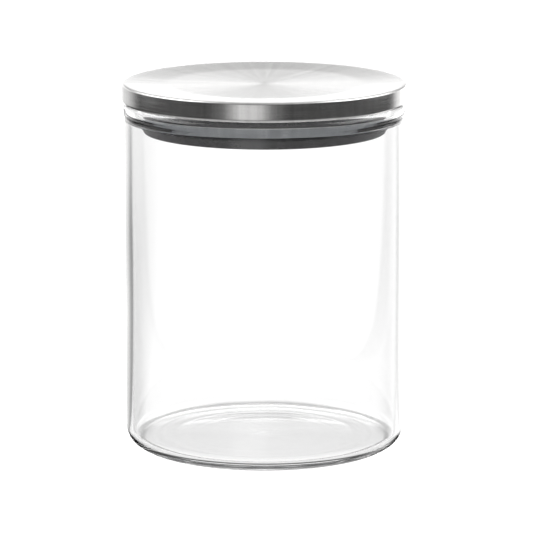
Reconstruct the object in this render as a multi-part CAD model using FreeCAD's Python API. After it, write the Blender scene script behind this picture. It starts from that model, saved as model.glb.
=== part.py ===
import FreeCAD, Part
import math
import os

# Lidded glass canister for dry food: a straight borosilicate jar with a heavy rounded lip, closed by a plug lid.
# The lid is a brushed steel cap, curled in at its lower edge over a hollow plastic core, with a silicone seal that
# sits in a groove round the core. The seal's flange rests on the lip and its fins press on the bore of the mouth.
# The lid lifts straight off.
# Frame: millimetres, +Z up, the origin at the middle of the base, on the surface that the jar stands on.
# Every piece is turned about the Z axis, so most of this file is outlines of (radius, height) corners.

# ---- Jar -------------------------------------------------------------------------------------------------------
JAR_RADIUS = 50.0  # outside of the straight wall
JAR_HEIGHT = 124.6  # base to the top of the lip
WALL = 2.4
FLOOR = 3.0
BASE_FILLET = 6.5  # outside, wall to base
FLOOR_FILLET = 3.4  # inside, wall to floor
FOOT_WIDTH = 9.5  # flat ring that the jar stands on, inwards from the base fillet
BASE_HOLLOW = 0.3  # how far the middle of the base is pushed up inside the foot ring
LIP_PROUD = 0.4  # how far the lip stands out past the wall
LIP_INWARD = 2.0  # how far the lip stands in past the wall
LIP_HEIGHT = 5.8  # from the wall's end to the top of the lip, outside
LIP_BLEND = 1.5  # height over which the wall swells into the lip, outside
BORE_HEIGHT = 3.6  # straight bore and its rounded mouth, from the top of the lip down
BORE_BLEND = 3.0  # height over which the bore opens out to the wall, inside
LIP_OUTER_FILLET = 3.0
LIP_INNER_FILLET = 1.2
LIP_SOFTEN = 1.6  # fillets where the lip leaves the wall

# ---- Lid -------------------------------------------------------------------------------------------------------
CAP_OVERHANG = 0.4  # how far the cap stands out past the lip
CAP_SHEET = 0.5
CAP_EDGE_FILLET = 0.7  # outside, top face to skirt
CAP_CURL = 1.3  # outer radius of the skirt's edge, which is curled in under the core
CAP_HEM = 1.5  # how far the curled edge reaches in from the outside
HEM_FILLET = 0.15
HEM_GAP = 0.22  # from the lip's rounded shoulder to the curled edge's inner corner, before its fillet
RIM_FLAT = 1.6  # level ring of the top face, inwards from the outside
DISH_RADIUS = 35.0  # the middle disc of the top face
RING_DROP = 0.6  # how far the ring round the disc slopes down towards it
DISH_DROP = 0.15  # how far the disc sinks from its edge to its middle
CAP_PLAY = 0.05  # between the cap's skirt and the core
CORE_HEIGHT = 5.0  # the core's height between seal and cap, at the outside
CORE_RIM = 1.0  # wall of the core's rim, inside the cap's skirt
CORE_WALL = 2.0  # between the core's pockets and its outside
CORE_LEDGE = 1.6  # of the ledge over the seal's flange
CORE_FLOOR = 2.0
CORE_FILLET = 1.0
PANEL_INSET = 9.2  # of the shallow panel sunk into the plug's underside, in from the plug's edge
PANEL_DEPTH = 0.5
BOSS_RADIUS = 7.0
RIB_COUNT = 8
RIB_WIDTH = 1.6
PLUG_DEPTH = 10.7  # from the top of the lip to the bottom of the plug
PLUG_CLEARANCE = 2.4  # between the plug's widest part and the bore
PLUG_EDGE_FILLET = 0.6
NECK_HEIGHT = 1.05  # between the plug's widest part and the seal
NECK_INSET = 1.2  # how far the neck above the plug's widest part, and the seal's sleeve, stand back from it
SEAL_DEPTH = 4.25  # from the top of the lip to the bottom of the seal
SEAL_THICKNESS = 1.8  # of the sleeve round the core
SEAL_FLANGE = 1.0
SEAL_OVERLAP = 2.4  # how far the flange reaches out past the bore, over the lip
SEAL_EDGE_FILLET = 0.25
FIN_COUNT = 2
FIN_PITCH = 1.1
FIN_FIRST = 0.7  # the top fin's middle, below the top of the lip
FIN_ROOT = 0.8  # height of a fin where it leaves the sleeve
FIN_TIP = 0.4  # height of a fin at its tip
FIN_TIP_FILLET = 0.15
FIN_CLEARANCE = 0.1  # radial, between the pressed fins and the bore
SEAT_CLEARANCE = 0.1  # between the seal's flange and the top of the lip

# ---- Heights and radii that follow -----------------------------------------------------------------------------
BORE_RADIUS = JAR_RADIUS - WALL - LIP_INWARD
LIP_RADIUS = JAR_RADIUS + LIP_PROUD
FOOT_RADIUS = JAR_RADIUS - BASE_FILLET
FOOT_INNER_RADIUS = FOOT_RADIUS - FOOT_WIDTH
SHOULDER_RADIUS = LIP_RADIUS - LIP_OUTER_FILLET
SHOULDER_HEIGHT = JAR_HEIGHT - LIP_OUTER_FILLET
SEAL_FLANGE_BOTTOM = JAR_HEIGHT + SEAT_CLEARANCE
SEAL_FLANGE_TOP = SEAL_FLANGE_BOTTOM + SEAL_FLANGE
CAP_UNDERSIDE = SEAL_FLANGE_TOP + CORE_HEIGHT
CAP_TOP = CAP_UNDERSIDE + CAP_SHEET
CAP_RADIUS = LIP_RADIUS + CAP_OVERHANG
HEM_RADIUS = CAP_RADIUS - CAP_HEM
SKIRT_BOTTOM = SHOULDER_HEIGHT + math.sqrt((LIP_OUTER_FILLET + HEM_GAP)**2 - (HEM_RADIUS - SHOULDER_RADIUS)**2)
HEM_TOP = SKIRT_BOTTOM + CAP_SHEET
HEM_INSIDE = CAP_CURL - CAP_SHEET
PLUG_BOTTOM = JAR_HEIGHT - PLUG_DEPTH
SEAL_BOTTOM = JAR_HEIGHT - SEAL_DEPTH
STEP_TOP = SEAL_BOTTOM - NECK_HEIGHT
PLUG_RADIUS = BORE_RADIUS - PLUG_CLEARANCE
PANEL_RADIUS = PLUG_RADIUS - PANEL_INSET
NECK_RADIUS = PLUG_RADIUS - NECK_INSET
GROOVE_RADIUS = NECK_RADIUS - SEAL_THICKNESS
CORE_RIM_RADIUS = CAP_RADIUS - CAP_SHEET - CAP_PLAY
FIN_RADIUS = BORE_RADIUS - FIN_CLEARANCE
FLANGE_RADIUS = BORE_RADIUS + SEAL_OVERLAP
RIM_FLAT_RADIUS = CAP_RADIUS - RIM_FLAT

AXIS = FreeCAD.Vector(0, 0, 1)
ORIGIN = FreeCAD.Vector(0, 0, 0)


def point(radius, height):
    return FreeCAD.Vector(radius, 0, height)


def rounded_corner(before, corner, after, radius):
    """The two tangent points and the middle of the arc that rounds a corner between two straight runs."""
    back = (before - corner).normalize()
    onward = (after - corner).normalize()
    half_angle = back.getAngle(onward) / 2
    reach = radius / math.tan(half_angle)
    bisector = (back + onward).normalize()
    middle = corner + bisector * (radius / math.sin(half_angle) - radius)
    return corner + back * reach, middle, corner + onward * reach


def outline(corners):
    """A closed wire through (radius, height, fillet) corners. A corner may end in "dome": then the run that
    leads to it is an arc whose centre is on the Z axis, and neither end of that run is rounded."""
    places = [point(c[0], c[1]) for c in corners]
    fillets = [c[2] if len(c) > 2 and c[2] != "dome" else 0 for c in corners]
    count = len(corners)
    starts, ends, edges = list(places), list(places), []
    for i, place in enumerate(places):
        if fillets[i]:
            before, after = places[i - 1], places[(i + 1) % count]
            ends[i], middle, starts[i] = rounded_corner(before, place, after, fillets[i])
            edges.append(Part.Arc(ends[i], middle, starts[i]).toShape())
    for i in range(count):
        begin, finish = starts[i - 1], ends[i]
        if corners[i][-1] == "dome":
            edges.append(dome(begin, finish))
        elif begin.distanceToPoint(finish) > 1e-6:
            edges.append(Part.LineSegment(begin, finish).toShape())
    return Part.Wire(Part.__sortEdges__(edges))


def dome(begin, finish):
    """An arc about a centre on the Z axis, between a point on the axis and a point off it."""
    on_axis, rim = sorted((begin, finish), key=lambda p: p.x)
    rise = rim.z - on_axis.z
    sphere = (rim.x**2 + rise**2) / (2 * rise)
    half_turn = math.asin(rim.x / sphere) / 2
    middle = point(sphere * math.sin(half_turn), on_axis.z + sphere * (1 - math.cos(half_turn)))
    return Part.Arc(begin, middle, finish).toShape()


def turned(corners):
    """The solid that an outline sweeps in a full turn about Z."""
    solid = Part.Face(outline(corners)).revolve(ORIGIN, AXIS, 360)
    return solid if solid.Volume > 0 else solid.reversed()


def cap_face(drop):
    """The cap's top face, as corners from the rim to the middle, lowered by drop."""
    return [
        (RIM_FLAT_RADIUS, CAP_TOP - drop),
        (DISH_RADIUS, CAP_TOP - RING_DROP - drop),
        (0, CAP_TOP - RING_DROP - DISH_DROP - drop, "dome"),
    ]


def glass_jar():
    """Floor, straight wall and heavy lip in one piece of glass, hollow under the base inside a flat foot ring."""
    lip_start = JAR_HEIGHT - LIP_HEIGHT
    bore_start = JAR_HEIGHT - BORE_HEIGHT
    inside = JAR_RADIUS - WALL
    return turned([
        (0, BASE_HOLLOW),
        (FOOT_INNER_RADIUS, 0, "dome"),
        (JAR_RADIUS, 0, BASE_FILLET),
        (JAR_RADIUS, lip_start, LIP_SOFTEN),
        (LIP_RADIUS, lip_start + LIP_BLEND, LIP_SOFTEN),
        (LIP_RADIUS, JAR_HEIGHT, LIP_OUTER_FILLET),
        (BORE_RADIUS, JAR_HEIGHT, LIP_INNER_FILLET),
        (BORE_RADIUS, bore_start, LIP_SOFTEN),
        (inside, bore_start - BORE_BLEND, LIP_SOFTEN),
        (inside, FLOOR, FLOOR_FILLET),
        (0, FLOOR),
    ])


def lid_cap():
    """Steel sheet drawn into a shallow cap with a dished disc, its skirt's edge curled in to hold the core."""
    inner_fillet = max(CAP_EDGE_FILLET - CAP_SHEET, 0.1)
    top, underside = cap_face(0), cap_face(CAP_SHEET)
    return turned([
        *top,
        (0, underside[2][1]),
        (DISH_RADIUS, underside[1][1], "dome"),
        underside[0],
        (CAP_RADIUS - CAP_SHEET, CAP_UNDERSIDE, inner_fillet),
        (CAP_RADIUS - CAP_SHEET, HEM_TOP, HEM_INSIDE),
        (HEM_RADIUS, HEM_TOP, HEM_FILLET),
        (HEM_RADIUS, SKIRT_BOTTOM, HEM_FILLET),
        (CAP_RADIUS, SKIRT_BOTTOM, CAP_CURL),
        (CAP_RADIUS, CAP_TOP, CAP_EDGE_FILLET),
    ])


def core_blank():
    """The core before its pockets are sunk: plug, neck, groove for the seal, and the rim inside the cap's skirt."""
    underside = cap_face(CAP_SHEET)
    rim_inside = CORE_RIM_RADIUS - CORE_RIM
    return turned([
        *underside,
        (0, PLUG_BOTTOM + PANEL_DEPTH),
        (PANEL_RADIUS, PLUG_BOTTOM + PANEL_DEPTH, PANEL_DEPTH / 2),
        (PANEL_RADIUS + PANEL_DEPTH, PLUG_BOTTOM, PANEL_DEPTH / 2),
        (PLUG_RADIUS, PLUG_BOTTOM, PLUG_EDGE_FILLET),
        (PLUG_RADIUS, STEP_TOP, PLUG_EDGE_FILLET),
        (NECK_RADIUS, STEP_TOP),
        (NECK_RADIUS, SEAL_BOTTOM),
        (GROOVE_RADIUS, SEAL_BOTTOM),
        (GROOVE_RADIUS, SEAL_FLANGE_TOP),
        (rim_inside, SEAL_FLANGE_TOP, CORE_RIM / 2),
        (rim_inside, HEM_TOP),
        (CORE_RIM_RADIUS, HEM_TOP, HEM_INSIDE),
        (CORE_RIM_RADIUS, CAP_UNDERSIDE, max(CAP_EDGE_FILLET - CAP_SHEET, 0.1)),
    ])


def core_pockets():
    """The space sunk into the core from above: deep round the boss, shallow over the ledge, parted by the ribs."""
    deep_radius = GROOVE_RADIUS - CORE_WALL
    floor = PLUG_BOTTOM + PANEL_DEPTH + CORE_FLOOR
    ledge = SEAL_FLANGE_TOP + CORE_LEDGE
    ring = turned([
        (BOSS_RADIUS, floor, CORE_FILLET),
        (deep_radius, floor, CORE_FILLET),
        (deep_radius, ledge, CORE_FILLET),
        (CORE_RIM_RADIUS - CORE_WALL, ledge, CORE_FILLET),
        (CORE_RIM_RADIUS - CORE_WALL, CAP_TOP),
        (BOSS_RADIUS, CAP_TOP),
    ])
    for i in range(RIB_COUNT):
        rib = Part.makeBox(CAP_RADIUS, RIB_WIDTH, CAP_TOP - floor, FreeCAD.Vector(0, -RIB_WIDTH / 2, floor))
        rib.rotate(ORIGIN, AXIS, i * 360 / RIB_COUNT)
        ring = ring.cut(rib)
    return ring


def lid_core():
    """Moulded plug that the cap is pressed over, hollow from above with ribs that carry the cap."""
    return core_blank().cut(core_pockets())


def fin(middle):
    """Corners of one fin, from its lower root round its tip to its upper root."""
    return [
        (NECK_RADIUS, middle - FIN_ROOT / 2),
        (FIN_RADIUS, middle - FIN_TIP / 2, FIN_TIP_FILLET),
        (FIN_RADIUS, middle + FIN_TIP / 2, FIN_TIP_FILLET),
        (NECK_RADIUS, middle + FIN_ROOT / 2),
    ]


def lid_seal():
    """Silicone sleeve in the core's groove, with a flange that rests on the lip and fins that press on the bore."""
    fins = []
    for i in reversed(range(FIN_COUNT)):
        fins += fin(JAR_HEIGHT - FIN_FIRST - i * FIN_PITCH)
    return turned([
        (GROOVE_RADIUS, SEAL_BOTTOM),
        (NECK_RADIUS, SEAL_BOTTOM, SEAL_EDGE_FILLET),
        *fins,
        (NECK_RADIUS, SEAL_FLANGE_BOTTOM),
        (FLANGE_RADIUS, SEAL_FLANGE_BOTTOM, SEAL_EDGE_FILLET),
        (FLANGE_RADIUS, SEAL_FLANGE_TOP, SEAL_EDGE_FILLET),
        (GROOVE_RADIUS, SEAL_FLANGE_TOP),
    ])


def main():
    os.makedirs("parts", exist_ok=True)
    for piece in (glass_jar, lid_cap, lid_core, lid_seal):
        solid = piece()
        box = solid.optimalBoundingBox()
        print(f"{piece.__name__}: valid {solid.isValid()}, {solid.Volume / 1000:.2f} cm3, "
              f"radius {box.XMax:.2f}, z {box.ZMin:.2f} to {box.ZMax:.2f}")
        solid.exportStep(f"parts/{piece.__name__}.step")


main()
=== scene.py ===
import math

import bpy
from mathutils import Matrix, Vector, noise


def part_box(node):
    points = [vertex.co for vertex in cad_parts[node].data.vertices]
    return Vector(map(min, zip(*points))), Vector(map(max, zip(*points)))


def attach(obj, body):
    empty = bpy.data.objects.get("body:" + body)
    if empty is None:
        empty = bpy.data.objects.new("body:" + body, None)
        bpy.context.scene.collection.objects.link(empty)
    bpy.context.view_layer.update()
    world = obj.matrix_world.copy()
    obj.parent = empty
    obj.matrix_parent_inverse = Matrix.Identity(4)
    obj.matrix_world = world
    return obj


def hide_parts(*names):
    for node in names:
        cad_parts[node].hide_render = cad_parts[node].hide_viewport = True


# Looks of the lidded glass canister: a clear jar, a brushed steel cap, a matt plug and a satin silicone
# seal. Metres, +Z up, the jar's axis on Z. Heights and outer radii come from the CAD boxes, and the named
# sizes below are the ones that a box doesn't give.

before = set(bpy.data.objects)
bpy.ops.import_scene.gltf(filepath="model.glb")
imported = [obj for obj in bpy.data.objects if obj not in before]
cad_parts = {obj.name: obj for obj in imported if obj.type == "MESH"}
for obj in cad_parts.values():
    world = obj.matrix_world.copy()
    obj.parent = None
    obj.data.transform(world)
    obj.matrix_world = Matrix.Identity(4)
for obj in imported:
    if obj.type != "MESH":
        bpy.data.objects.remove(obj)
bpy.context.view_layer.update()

MM = 0.001

# ---- Meshes
AROUND = 320  # steps round a turned piece
ON_AXIS = 1e-7  # a point nearer to the axis than this is on it
SHARP_EDGE = math.radians(40)
JAR_STEP = 1.5 * MM  # longest run of the jar's outline
JAR_FILLET_STEPS = 16
CAP_STEP = 2.5 * MM
CAP_FILLET_STEPS = 10
HOLLOW_STEPS = 16
DISH_STEPS = 24

# ---- Jar
WALL = 2.4 * MM
FLOOR = 3.0 * MM
BASE_FILLET = 6.5 * MM
FLOOR_FILLET = 3.4 * MM
FOOT_WIDTH = 9.5 * MM
BASE_HOLLOW = 0.3 * MM
LIP_PROUD = 0.4 * MM
LIP_INWARD = 2.0 * MM
LIP_HEIGHT = 5.8 * MM
LIP_BLEND = 1.5 * MM
BORE_HEIGHT = 3.6 * MM
BORE_BLEND = 3.0 * MM
LIP_OUTER_FILLET = 3.0 * MM
LIP_INNER_FILLET = 1.2 * MM
LIP_SOFTEN = 1.6 * MM
INSIDE_RADIUS = 47.6 * MM

# ---- Marks that forming leaves in the glass
# Faint rings in the floor, as (radius, depth of the dent and of the painted shade along it)
FLOOR_RINGS = [(45.4 * MM, 0.60), (38.4 * MM, 0.50), (33.2 * MM, 0.32), (26.4 * MM, 0.24)]
RING_SPAN = 50.0 * MM  # the radius that ramps across the floor end at
RING_DENT = 0.08 * MM  # per unit of tint
RING_REACH = 1.0 * MM  # to either side, of the dent
# Reach, to either side of each ring, of the painted shade along it
RING_SHADE_REACH = 1.3 * MM
MIDDLE_DENT = 0.08 * MM
MIDDLE_REACH = 4 * MM
WALL_WAVE = 0.03 * MM  # depth of the wall's faint waves
WAVES_AROUND = 3  # scale of those waves round the wall
WAVES_UP = 30  # and up it, per metre
OUTSIDE_SHIFT = 7  # keeps the outside's waves apart from the inside's

# ---- Cap
CAP_SHEET = 0.5 * MM
CAP_EDGE_FILLET = 0.7 * MM
CAP_CURL = 1.3 * MM
CAP_HEM = 1.5 * MM
HEM_FILLET = 0.15 * MM
RIM_FLAT = 1.6 * MM
DISH_RADIUS = 35.0 * MM
RING_DROP = 0.6 * MM
DISH_DROP = 0.15 * MM

# ---- Glass. Stops are (0 facing on to 1 edge on, tint). The fall toward edge on is painted shade for the walls' dark edges.
GLASS_IOR = 1.473
OUTSIDE_TINT_AND_EDGE_SHADE = [(0.0, 0.99), (0.64, 0.98), (0.72, 0.92), (1.0, 0.88)]
INSIDE_TINT_AND_EDGE_SHADE = [(0.0, 0.99), (0.6, 0.98), (0.78, 0.90), (0.84, 0.65), (0.9, 0.2), (1.0, 0.04)]
TINT_AND_EDGE_SHADE_CHANGE = (1.0 * MM, 1.4 * MM)  # how far out in the wall the inside's tint and painted edge shade give way to the outside's
FLOOR_TOP = [(0.40, 0.0), (0.45, 1.0), (0.60, 1.0), (0.75, 0.0)]  # where the rings' painted shade lies, by height, as a share of two floors
RING_SHADE_SIDE = [(0.5, 0.1), (0.95, 1.0)]  # the rings' painted shade is deeper at the back of the jar than at its front

# ---- Steel
BRUSH_FINE = (9000, 6)  # scale of the streaks across the brushing, per metre, and along it, per radian
BRUSH_BROAD = (1500, 2.5)
BROAD_SHARE = 0.4
# Painted reflection spokes on the steel: their scale round the axis, and how far they darken and lighten it
SPOKE_SCALE = 14.0
PAINTED_SPOKE_SHEEN = [(0.3, 0.86), (0.7, 1.06)]
MIDDLE_SHADE = [(0.0, 0.80), (0.12, 0.97), (0.3, 1.0)]  # by radius, as a share of the dish's
STEEL_COLOURS = [(0.3, (0.52, 0.515, 0.51)), (0.7, (0.70, 0.695, 0.69))]
STEEL_ROUGHNESS = [(0.3, 0.17), (0.7, 0.27)]
STEEL_BUMP = 0.01 * MM

# ---- Plastic
PLASTIC_GRAIN = 2600  # scales of noise, per metre
DUST_GRAIN = 1900
DUST_COLOURS = [(0.0, (0.012, 0.012, 0.014)), (0.58, (0.016, 0.016, 0.018)),
                (0.66, (0.10, 0.10, 0.105)), (0.74, (0.26, 0.26, 0.26))]
PLASTIC_ROUGHNESS = [(0.3, 0.5), (0.7, 0.66)]
PLASTIC_BUMP = 0.06 * MM

# ---- Silicone
CLOUD_GRAIN = 300
SILICONE_GRAIN = 2000
SILICONE_COLOURS = [(0.3, (0.46, 0.48, 0.50)), (0.65, (0.56, 0.58, 0.60)),
                    (0.95, (0.95, 0.95, 0.95))]
SILICONE_ROUGHNESS = [(0.3, 0.38), (0.7, 0.5)]
SILICONE_BUMP = 0.03 * MM
EDGE_HIGHLIGHT_HEIGHTS = (0.35 * MM, 0.20 * MM)  # heights above the seal's bottom between which it turns pale, a painted highlight along its lower edge
# How much the painted edge highlight lifts the colour
EDGE_HIGHLIGHT_LIFT = 0.6

# ---- Viewpoint
VIEW_DISTANCE = 1.272
VIEW_HEIGHT = 0.3204
VIEW_PITCH = math.radians(11.4)
VIEW_LENS = 243.5
VIEW_SENSOR = 36
VIEW_SHIFT = 0.0045

# ---- Studio floor
FLOOR_RADIUS = 60.0
FLOOR_CORNERS = 64
FLOOR_GAP = 0.05 * MM  # between the floor and the jar
FLOOR_GLOW = 1.12
WALL_SIGHT = 48.0 * MM  # how far to each side the glass shows what is straight behind it
# Glow behind the jar, dimmed as painted shade, by how far out past that a point lies, as a share of how far
# behind the jar it is.
GLOW_LEFT = [(0.05, 1.0), (0.14, 0.8), (0.25, 0.55), (0.40, 0.42), (0.48, 0.40), (0.54, 0.15),
             (0.68, 0.15), (0.80, 1.0)]
GLOW_RIGHT = [(0.05, 1.0), (0.20, 0.95), (0.40, 0.85), (0.50, 0.80), (0.56, 0.50), (0.66, 0.50),
              (0.80, 1.0)]
DIM_FADE = (0.75, 0.35)  # metres behind the jar between which that dimming grows to its full depth
DIM_FAR = 0.4  # and its depth beyond them
# Glow under the jar, dimmed by a painted contact shadow, by radius as a share of the jar's width, at its back
# and at its front.
GLOW_UNDER_BACK = [(0.0, 1.0), (0.405, 0.98), (0.44, 0.55), (0.49, 0.6), (0.505, 1.0)]
GLOW_UNDER_FRONT = [(0.0, 1.0), (0.43, 0.98), (0.44, 0.05), (0.45, 0.05), (0.46, 0.8), (0.505, 1.0)]
FRONT_SHARE = [(0.4, 1.0), (0.6, 0.0)]  # how much of the front's glow, from the front, 0, to the back, 1

# ---- Surroundings, as (elevation in degrees, brightness)
SKY_PEAK = 4.0  # the brightest part
SKY_BELOW = [(-90, 0.80), (-60, 0.7), (-42, 0.6), (-26, 0.02), (-15, 0.10), (-2, 0.09)]
SKY_BEHIND = SKY_BELOW + [(1, 0.85), (3, 1.27), (7, 1.26), (14, 0.58), (25, 0.7), (90, 0.7)]
SKY_BEFORE = SKY_BELOW + [(15, 0.08), (30, 0.3), (60, 0.7), (90, 0.8)]
BEFORE_SPAN = (0, 95, 20)  # azimuth, half width and fade of the darker side, in degrees
MATT_FILL = [(-20, 0.0), (-5, 0.5), (40, 0.5), (60, 0.0)]

# ---- Softboxes. Bands are (elevation, share of the strength). Azimuths run from the viewer to the right.
LOW_BAND = [(-26, 0.0), (-16, 1.0), (3, 1.0), (8, 0.0)]
BACK_BAND = [(-19, 0.0), (-13, 1.0), (3, 1.0), (8, 0.0)]
DEEP_BAND = [(-50, 0.0), (-40, 1.0), (-28, 1.0), (-19, 0.0)]
STRIP_BAND = [(-24, 0.0), (-17, 1.0), (0, 1.0), (2.5, 0.0)]
HIGH_BAND = [(18, 0.0), (28, 1.0), (58, 1.0), (70, 0.0)]
SOFTBOXES = [  # azimuth, half width and fade in degrees, strength, band
    (-13, 9.5, 19, 0.85, LOW_BAND),
    (-13, 17, 34, 0.25, LOW_BAND),
    (-156, 18, 34, 0.8, BACK_BAND),
    (156, 18, 36, 1.6, BACK_BAND),
    (-168, 12, 16, 0.15, BACK_BAND),
    (168, 12, 16, 0.5, BACK_BAND),
    (138, 13, 12, 1.3, DEEP_BAND),
    (180, 7, 6, 4.0, STRIP_BAND),
    (-105, 35, 20, 3.0, HIGH_BAND),
    (105, 35, 20, 3.0, HIGH_BAND),
]


# ======== Mesh helpers ========

def rounded(corners, steps):
    """Points of an outline of (radius, height[, fillet]) corners, each fillet as an arc."""
    places = [Vector(c[:2]) for c in corners]
    points = []
    for i, place in enumerate(places):
        radius = corners[i][2] if len(corners[i]) > 2 else 0
        if not radius:
            points.append(place)
            continue
        back = (places[i - 1] - place).normalized()
        onward = (places[(i + 1) % len(places)] - place).normalized()
        half_angle = back.angle(onward) / 2
        middle = place + (back + onward).normalized() * (radius / math.sin(half_angle))
        reach = radius / math.tan(half_angle)
        first = place + back * reach - middle
        sweep = first.angle_signed(place + onward * reach - middle)
        for k in range(steps + 1):
            turn = -sweep * k / steps
            points.append(middle + Vector((
                first.x * math.cos(turn) - first.y * math.sin(turn),
                first.x * math.sin(turn) + first.y * math.cos(turn))))
    return points


def spread(points, step):
    """The same outline with long runs divided, so that no run is longer than step."""
    dense = [points[0]]
    for begin, finish in zip(points, points[1:]):
        count = max(1, math.ceil((finish - begin).length / step))
        dense += [begin.lerp(finish, (k + 1) / count) for k in range(count)]
    return dense


def domed(rim, middle):
    """Points of a shallow parabola from its rim to the axis."""
    points = []
    for k in range(1, DISH_STEPS + 1):
        t = 1 - k / DISH_STEPS
        points.append(Vector((rim.x * t, middle + (rim.y - middle) * t * t)))
    return points


def turned(name, outline, shift=None):
    """A piece swept about Z from an outline, with poles on the axis. shift moves each (point, angle)."""
    verts, rings = [], []
    for point in outline:
        if point.x < ON_AXIS:
            rings.append([len(verts)] * AROUND)
            verts.append(Vector((0, 0, point.y)))
            continue
        rings.append(list(range(len(verts), len(verts) + AROUND)))
        for k in range(AROUND):
            angle = 2 * math.pi * k / AROUND
            r, z = shift(point, angle) if shift else point
            verts.append(Vector((r * math.cos(angle), r * math.sin(angle), z)))
    from_axis = outline[0].x < ON_AXIS
    faces = []
    for low, high in zip(rings, rings[1:] if from_axis else rings[1:] + rings[:1]):
        for k in range(AROUND):
            n = (k + 1) % AROUND
            loop = list(dict.fromkeys((low[k], low[n], high[n], high[k])))
            if len(loop) > 2:
                faces.append(loop)
    mesh = bpy.data.meshes.new(name)
    mesh.from_pydata(verts, [], faces)
    mesh.validate()
    mesh.shade_smooth()
    mesh.set_sharp_from_angle(angle=SHARP_EDGE)
    piece = bpy.data.objects.new(name, mesh)
    bpy.context.scene.collection.objects.link(piece)
    return piece


def dress(piece, material):
    piece.data.materials.clear()
    piece.data.materials.append(material)


# ======== Node helpers ========

def new_material(name):
    material = bpy.data.materials.new(name)
    material.use_nodes = True
    return material, material.node_tree, material.node_tree.nodes["Principled BSDF"]


def feed(tree, socket, value):
    """Links a socket to another, or sets it to a number or vector."""
    if isinstance(value, bpy.types.NodeSocket):
        tree.links.new(value, socket)
    else:
        socket.default_value = value


def math_node(tree, operation, a, b=None):
    node = tree.nodes.new("ShaderNodeMath")
    node.operation = operation
    feed(tree, node.inputs[0], a)
    if b is not None:
        feed(tree, node.inputs[1], b)
    return node.outputs[0]


def vector_math(tree, operation, a, b=None):
    node = tree.nodes.new("ShaderNodeVectorMath")
    node.operation = operation
    feed(tree, node.inputs[0], a)
    if b is not None:
        feed(tree, node.inputs[1], b)
    return node.outputs["Value" if operation == "DOT_PRODUCT" else "Vector"]


def mixed(tree, factor, a, b):
    """A number that goes from a to b as the factor goes from 0 to 1."""
    node = tree.nodes.new("ShaderNodeMix")
    node.data_type = "FLOAT"
    for name, value in (("Factor", factor), ("A", a), ("B", b)):
        feed(tree, node.inputs[name], value)
    return node.outputs["Result"]


def map_range(tree, value, start, end, low=0.0, high=1.0, kind="LINEAR"):
    """A number that goes from low to high as the value goes from start to end."""
    node = tree.nodes.new("ShaderNodeMapRange")
    node.interpolation_type = kind
    for name, number in (("Value", value), ("From Min", start), ("From Max", end),
                         ("To Min", low), ("To Max", high)):
        feed(tree, node.inputs[name], number)
    return node.outputs[0]


def ramp_node(tree, factor, stops, interpolation="LINEAR"):
    """A colour ramp of (position, value or colour) stops."""
    node = tree.nodes.new("ShaderNodeValToRGB")
    node.color_ramp.interpolation = interpolation
    elements = node.color_ramp.elements
    while len(elements) < len(stops):
        elements.new(0.5)
    for element, (position, value) in zip(elements, stops):
        element.position = position
        colour = value if isinstance(value, tuple) else (value, value, value)
        element.color = (*colour, 1)
    feed(tree, node.inputs["Fac"], factor)
    return node.outputs["Color"]


def noise_at(tree, vector, scale, detail=2, roughness=0.5):
    node = tree.nodes.new("ShaderNodeTexNoise")
    for name, value in (("Vector", vector), ("Scale", scale), ("Detail", detail),
                        ("Roughness", roughness)):
        feed(tree, node.inputs[name], value)
    return node.outputs["Fac"]


def combined(tree, x, y, z):
    node = tree.nodes.new("ShaderNodeCombineXYZ")
    for socket, value in zip(node.inputs, (x, y, z)):
        feed(tree, socket, value)
    return node.outputs[0]


def separated(tree, vector):
    node = tree.nodes.new("ShaderNodeSeparateXYZ")
    feed(tree, node.inputs[0], vector)
    return node.outputs


def coordinates(tree, kind):
    return tree.nodes.new("ShaderNodeTexCoord").outputs[kind]


def polar(tree):
    """Sockets of a point's radius from the Z axis, its angle about it and its height, in metres."""
    x, y, z = separated(tree, coordinates(tree, "Object"))
    squares = math_node(tree, "ADD", math_node(tree, "MULTIPLY", x, x), math_node(tree, "MULTIPLY", y, y))
    return math_node(tree, "SQRT", squares), math_node(tree, "ARCTAN2", y, x), z


def backness(tree, angle):
    """0 at the front of the jar, 1 at its back."""
    return math_node(tree, "ADD", math_node(tree, "MULTIPLY", math_node(tree, "SINE", angle), 0.5), 0.5)


def bump(tree, shader, height, distance, strength):
    node = tree.nodes.new("ShaderNodeBump")
    node.inputs["Strength"].default_value = strength
    node.inputs["Distance"].default_value = distance
    tree.links.new(height, node.inputs["Height"])
    tree.links.new(node.outputs[0], shader.inputs["Normal"])


# ======== Materials ========

def ring_painted_shade(tree, radius):
    """1 everywhere but at the floor's rings, where it dips by their depth: painted shade lines along them."""
    stops = [(0.0, 1.0)]
    for middle, depth in sorted(FLOOR_RINGS):
        for offset, value in ((-RING_SHADE_REACH, 1.0), (0, 1.0 - depth), (RING_SHADE_REACH, 1.0)):
            stops.append(((middle + offset) / RING_SPAN, value))
    return ramp_node(tree, math_node(tree, "DIVIDE", radius, RING_SPAN), stops, "EASE")


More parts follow.
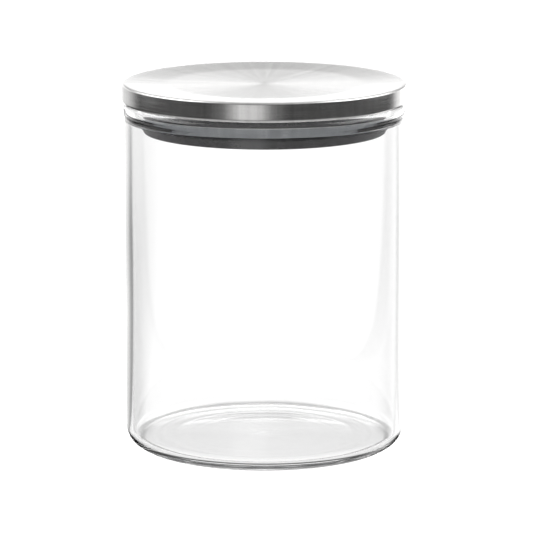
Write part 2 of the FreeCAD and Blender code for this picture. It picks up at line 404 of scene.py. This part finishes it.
def glass_material():
    """Clear glass, with painted shade where it is seen edge on, above all on its inside, and painted shade
    lines at faint rings in its floor.
    """
    material, tree, shader = new_material("clear_glass")
    shader.inputs["Transmission Weight"].default_value = 1.0
    shader.inputs["Roughness"].default_value = 0.0
    shader.inputs["IOR"].default_value = GLASS_IOR
    radius, angle, height = polar(tree)
    # Painted shade: the glass darkens as it is seen edge on, above all on its inside, in place of the walls'
    # dark edges.
    facing = tree.nodes.new("ShaderNodeLayerWeight").outputs["Facing"]
    outside = ramp_node(tree, facing, OUTSIDE_TINT_AND_EDGE_SHADE)
    inside = ramp_node(tree, facing, INSIDE_TINT_AND_EDGE_SHADE)
    start, end = (INSIDE_RADIUS + depth for depth in TINT_AND_EDGE_SHADE_CHANGE)
    outer_wall = map_range(tree, radius, start, end)
    tint_and_edge_shade = mixed(tree, outer_wall, inside, outside)
    floor_top = ramp_node(tree, math_node(tree, "DIVIDE", height, FLOOR * 2), FLOOR_TOP)
    one_side = ramp_node(tree, backness(tree, angle), RING_SHADE_SIDE)
    # Painted shade lines along the floor's rings, deeper at the back of the jar.
    rings = mixed(tree, math_node(tree, "MULTIPLY", floor_top, one_side), 1.0, ring_painted_shade(tree, radius))
    tree.links.new(math_node(tree, "MULTIPLY", tint_and_edge_shade, rings), shader.inputs["Base Color"])
    return material


def steel_material():
    """Steel whose brushing lies round the axis, on the top and on the skirt alike."""
    material, tree, shader = new_material("brushed_steel")
    shader.inputs["Metallic"].default_value = 1.0
    shader.inputs["Anisotropic"].default_value = 0.7
    shader.inputs["Anisotropic Rotation"].default_value = 0.25
    tangent = tree.nodes.new("ShaderNodeTangent")
    tangent.direction_type = "RADIAL"
    tangent.axis = "Z"
    tree.links.new(tangent.outputs[0], shader.inputs["Tangent"])
    radius, angle, height = polar(tree)

    def streaks(scales, detail, roughness=0.5):
        across, along = scales
        place = combined(tree, math_node(tree, "MULTIPLY", radius, across),
                         math_node(tree, "MULTIPLY", angle, along),
                         math_node(tree, "MULTIPLY", height, across))
        return noise_at(tree, place, 1.0, detail, roughness)

    fine = streaks(BRUSH_FINE, 3, 0.6)
    both = mixed(tree, BROAD_SHARE, fine, streaks(BRUSH_BROAD, 2))
    # Painted reflection: faint spokes of highlight and shade across the disc. The steel is also darker at its
    # middle.
    around = combined(tree, math_node(tree, "COSINE", angle), math_node(tree, "SINE", angle), 0.0)
    spokes = ramp_node(tree, noise_at(tree, around, SPOKE_SCALE, 3, 0.7), PAINTED_SPOKE_SHEEN)
    middle = ramp_node(tree, math_node(tree, "DIVIDE", radius, DISH_RADIUS), MIDDLE_SHADE)
    # Painted reflection spokes, times the darker middle.
    spokes_and_middle = math_node(tree, "MULTIPLY", spokes, middle)
    colour = ramp_node(tree, both, STEEL_COLOURS)
    shaded = vector_math(tree, "MULTIPLY", colour, combined(tree, spokes_and_middle, spokes_and_middle, spokes_and_middle))
    tree.links.new(shaded, shader.inputs["Base Color"])
    tree.links.new(ramp_node(tree, both, STEEL_ROUGHNESS), shader.inputs["Roughness"])
    bump(tree, shader, fine, STEEL_BUMP, 0.6)
    return material


def plastic_material():
    """Matt charcoal plastic with specks of dust."""
    material, tree, shader = new_material("charcoal_plastic")
    place = coordinates(tree, "Object")
    grain = noise_at(tree, place, PLASTIC_GRAIN)
    dust = noise_at(tree, place, DUST_GRAIN, 3, 0.7)
    tree.links.new(ramp_node(tree, dust, DUST_COLOURS), shader.inputs["Base Color"])
    shader.inputs["Specular IOR Level"].default_value = 0.3
    tree.links.new(ramp_node(tree, grain, PLASTIC_ROUGHNESS), shader.inputs["Roughness"])
    bump(tree, shader, grain, PLASTIC_BUMP, 0.5)
    return material


def silicone_material():
    """Satin grey silicone, a little clouded, with a painted highlight along its lower edge."""
    material, tree, shader = new_material("grey_silicone")
    place = coordinates(tree, "Object")
    cloud = noise_at(tree, place, CLOUD_GRAIN, 3)
    height = separated(tree, place)[2]
    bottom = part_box("lid_seal")[0].z
    start, end = (bottom + rise for rise in EDGE_HIGHLIGHT_HEIGHTS)
    # Painted highlight, paler toward the seal's bottom edge.
    edge = map_range(tree, height, start, end, 0.0, EDGE_HIGHLIGHT_LIFT, "SMOOTHSTEP")
    colour = ramp_node(tree, math_node(tree, "ADD", cloud, edge), SILICONE_COLOURS)
    tree.links.new(colour, shader.inputs["Base Color"])
    tree.links.new(ramp_node(tree, cloud, SILICONE_ROUGHNESS), shader.inputs["Roughness"])
    bump(tree, shader, noise_at(tree, place, SILICONE_GRAIN), SILICONE_BUMP, 0.5)
    return material


# ======== Pieces ========

def jar_glass():
    low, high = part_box("glass_jar")
    lip_radius, top = high.x, high.z
    radius = lip_radius - LIP_PROUD
    inside = radius - WALL
    bore = inside - LIP_INWARD
    foot = radius - BASE_FILLET - FOOT_WIDTH
    lip_start = top - LIP_HEIGHT
    bore_start = top - BORE_HEIGHT
    bore_end = bore_start - BORE_BLEND
    under = [Vector((foot * k / HOLLOW_STEPS, BASE_HOLLOW * (1 - (k / HOLLOW_STEPS) ** 2)))
             for k in range(HOLLOW_STEPS)]
    outline = rounded([
        (foot, 0),
        (radius, 0, BASE_FILLET),
        (radius, lip_start, LIP_SOFTEN),
        (lip_radius, lip_start + LIP_BLEND, LIP_SOFTEN),
        (lip_radius, top, LIP_OUTER_FILLET),
        (bore, top, LIP_INNER_FILLET),
        (bore, bore_start, LIP_SOFTEN),
        (inside, bore_end, LIP_SOFTEN),
        (inside, FLOOR, FLOOR_FILLET),
        (0, FLOOR),
    ], JAR_FILLET_STEPS)

    def imperfect(point, angle):
        """Presses faint rings into the floor's top, and waves into both sides of the wall."""
        r, z = point
        if FLOOR * 0.9 < z < FLOOR * 1.5 and r < inside - FLOOR_FILLET:
            for middle, depth in FLOOR_RINGS:
                z -= RING_DENT * depth * math.exp(-((r - middle) / RING_REACH) ** 2)
            z -= MIDDLE_DENT * math.exp(-(r / MIDDLE_REACH) ** 2)
        elif FLOOR * 3 < z < bore_end:
            side = OUTSIDE_SHIFT if r > radius - WALL / 2 else 0
            place = Vector((math.cos(angle) * WAVES_AROUND, math.sin(angle) * WAVES_AROUND, z * WAVES_UP))
            r += WALL_WAVE * noise.noise(place + Vector((side, 0, 0)))
        return r, z

    piece = turned("jar_glass", spread(under + outline, JAR_STEP), imperfect)
    dress(piece, glass_material())
    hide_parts("glass_jar")
    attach(piece, "jar")


def cap_steel():
    low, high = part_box("lid_cap")
    radius, top, bottom = high.x, high.z, low.z
    hem = radius - CAP_HEM
    hem_top = bottom + CAP_SHEET
    under = top - CAP_SHEET
    rim = Vector((radius - RIM_FLAT, top))
    dish = Vector((DISH_RADIUS, top - RING_DROP))
    drop = Vector((0, CAP_SHEET))
    upper = [rim, dish] + domed(dish, dish.y - DISH_DROP)
    lower = list(reversed(domed(dish - drop, dish.y - DISH_DROP - CAP_SHEET))) + [dish - drop, rim - drop]
    skirt = rounded([
        (rim.x, under),
        (radius - CAP_SHEET, under, CAP_EDGE_FILLET - CAP_SHEET),
        (radius - CAP_SHEET, hem_top, CAP_CURL - CAP_SHEET),
        (hem, hem_top, HEM_FILLET),
        (hem, bottom, HEM_FILLET),
        (radius, bottom, CAP_CURL),
        (radius, top, CAP_EDGE_FILLET),
        (rim.x, top),
    ], CAP_FILLET_STEPS)
    piece = turned("cap_steel", spread(lower[:-1] + skirt[:-1] + upper, CAP_STEP))
    dress(piece, steel_material())
    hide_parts("lid_cap")
    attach(piece, "lid")


def cad_pieces():
    dress(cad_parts["lid_core"], plastic_material())
    dress(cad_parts["lid_seal"], silicone_material())


# ======== Studio ========

def studio_floor():
    """A glowing white sheet. Through the glass it looks dimmer under the jar and to either side behind, by a
    painted shadow and painted shade in its glow.
    """
    mesh = bpy.data.meshes.new("studio_floor")
    turns = [2 * math.pi * k / FLOOR_CORNERS for k in range(FLOOR_CORNERS)]
    ring = [(FLOOR_RADIUS * math.cos(turn), FLOOR_RADIUS * math.sin(turn), 0) for turn in turns]
    mesh.from_pydata(ring, [], [list(range(FLOOR_CORNERS))])
    floor = bpy.data.objects.new("studio_floor", mesh)
    bpy.context.scene.collection.objects.link(floor)
    floor.location.z = -FLOOR_GAP
    material = bpy.data.materials.new("studio_floor")
    material.use_nodes = True
    tree = material.node_tree
    tree.nodes.clear()
    radius, angle, _ = polar(tree)
    x, y, _ = separated(tree, coordinates(tree, "Object"))
    # To either side behind the jar it dims, painted shade so that the walls' edges read dark.
    out_from_wall = math_node(tree, "SUBTRACT", math_node(tree, "ABSOLUTE", x), WALL_SIGHT)
    share_out = math_node(tree, "DIVIDE", out_from_wall, math_node(tree, "MAXIMUM", y, MM))
    aside = mixed(tree, math_node(tree, "GREATER_THAN", x, 0.0),
                  ramp_node(tree, share_out, GLOW_LEFT), ramp_node(tree, share_out, GLOW_RIGHT))
    near = map_range(tree, y, *DIM_FADE, DIM_FAR)
    behind_jar = math_node(tree, "GREATER_THAN", y, 0.0)
    aside = mixed(tree, math_node(tree, "MULTIPLY", near, behind_jar), 1.0, aside)
    # Under the jar a painted contact shadow dims it, darkest just inside the foot's rounded edge at the front.
    share = math_node(tree, "DIVIDE", radius, RING_SPAN * 2)
    front = ramp_node(tree, backness(tree, angle), FRONT_SHARE)
    under = mixed(tree, front, ramp_node(tree, share, GLOW_UNDER_BACK),
                  ramp_node(tree, share, GLOW_UNDER_FRONT))
    seen_plainly = tree.nodes.new("ShaderNodeLightPath").outputs["Is Camera Ray"]
    glow = tree.nodes.new("ShaderNodeEmission")
    through_glass = math_node(tree, "MULTIPLY", aside, under)
    tree.links.new(mixed(tree, seen_plainly, through_glass, 1.0), glow.inputs["Color"])
    glow.inputs["Strength"].default_value = FLOOR_GLOW
    out = tree.nodes.new("ShaderNodeOutputMaterial")
    tree.links.new(glow.outputs[0], out.inputs["Surface"])
    dress(floor, material)
    floor.visible_glossy = False


def level_direction(degrees):
    """A level direction from the jar, so many degrees to the viewer's right of the line to the viewer."""
    angle = math.radians(degrees)
    return Vector((math.sin(angle), -math.cos(angle), 0))


def up(degrees):
    """Where an elevation lies on a ramp from straight down, 0, to straight up, 1."""
    return (math.sin(math.radians(degrees)) + 1) / 2


def studio_world():
    """Soft light by direction: pale below, dark near the horizon, bright behind, and softboxes."""
    world = bpy.data.worlds.new("studio")
    bpy.context.scene.world = world
    world.use_nodes = True
    tree = world.node_tree
    tree.nodes.clear()
    direction = coordinates(tree, "Generated")
    height = math_node(tree, "MULTIPLY", math_node(tree, "ADD", separated(tree, direction)[2], 1.0), 0.5)
    level = vector_math(tree, "NORMALIZE", vector_math(tree, "MULTIPLY", direction, (1, 1, 0)))

    def by_elevation(stops):
        return ramp_node(tree, height, [(up(elevation), value / SKY_PEAK) for elevation, value in stops])

    def toward(middle, half_width, fade):
        """1 in directions within half_width of the middle azimuth, fading to 0 over some degrees."""
        closeness = vector_math(tree, "DOT_PRODUCT", level, level_direction(middle))
        start, end = (math.cos(math.radians(half_width + side * fade / 2)) for side in (1, -1))
        return map_range(tree, closeness, start, end, kind="SMOOTHSTEP")

    glow = mixed(tree, toward(*BEFORE_SPAN), by_elevation(SKY_BEHIND), by_elevation(SKY_BEFORE))
    for middle, half_width, fade, strength, band in SOFTBOXES:
        part = by_elevation([(elevation, share * strength) for elevation, share in band])
        part = math_node(tree, "MULTIPLY", part, toward(middle, half_width, fade))
        glow = math_node(tree, "ADD", glow, part)
    light_path = tree.nodes.new("ShaderNodeLightPath")
    # Matt pieces are lit evenly from the sides as well, by lamps that mirror finishes don't show.
    fill = math_node(tree, "MULTIPLY", light_path.outputs["Is Diffuse Ray"], by_elevation(MATT_FILL))
    glow = math_node(tree, "ADD", glow, fill)
    background = tree.nodes.new("ShaderNodeBackground")
    seen = mixed(tree, light_path.outputs["Is Camera Ray"], glow, FLOOR_GLOW / SKY_PEAK)
    tree.links.new(seen, background.inputs["Color"])
    background.inputs["Strength"].default_value = SKY_PEAK
    out = tree.nodes.new("ShaderNodeOutputWorld")
    tree.links.new(background.outputs[0], out.inputs["Surface"])


def viewpoint():
    camera = bpy.data.cameras.new("viewpoint")
    camera.lens = VIEW_LENS
    camera.sensor_width = VIEW_SENSOR
    camera.shift_x = VIEW_SHIFT
    seat = bpy.data.objects.new("viewpoint", camera)
    bpy.context.scene.collection.objects.link(seat)
    seat.location = (0, -VIEW_DISTANCE, VIEW_HEIGHT)
    seat.rotation_euler = (math.pi / 2 - VIEW_PITCH, 0, 0)
    bpy.context.scene.camera = seat


def studio_settings():
    scene = bpy.context.scene
    scene.view_settings.view_transform = "Standard"
    scene.cycles.max_bounces = 24
    scene.cycles.glossy_bounces = 16
    scene.cycles.transmission_bounces = 24


viewpoint()
studio_settings()
jar_glass()
cap_steel()
cad_pieces()
studio_floor()
studio_world()
